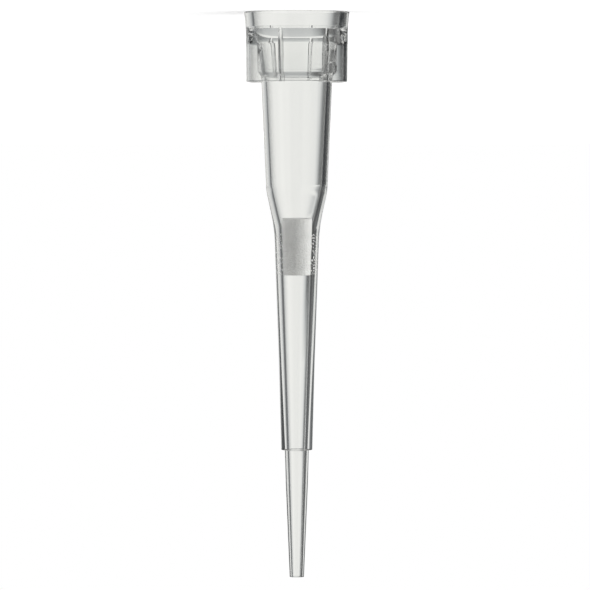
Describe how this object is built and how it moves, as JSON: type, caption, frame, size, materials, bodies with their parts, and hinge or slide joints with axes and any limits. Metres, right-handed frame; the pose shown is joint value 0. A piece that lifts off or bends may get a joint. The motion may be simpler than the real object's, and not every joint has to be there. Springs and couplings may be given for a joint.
{
  "type": "filtered pipette tip",
  "caption": "Clear tapered pipette tip with a ribbed collar, a conical socket for the pipette's nozzle, a porous filter plug and a narrow stepped nose.",
  "frame": {"origin": "centre of the rim's plane: the tip stands on its rim with the nose up", "axes": "+Z along the bore from the mouth to the nose; the first of the six ribs is turned 50.5 degrees from +X"},
  "size_m": [0.0058, 0.0058, 0.0315],
  "materials": {
    "tip_plastic": "clear, polished polypropylene",
    "filter_plastic": "white porous polyethylene"
  },
  "bodies": {
    "root": {"tip_body": "tip_plastic", "filter_plug": "filter_plastic"}
  },
  "joints": []
}
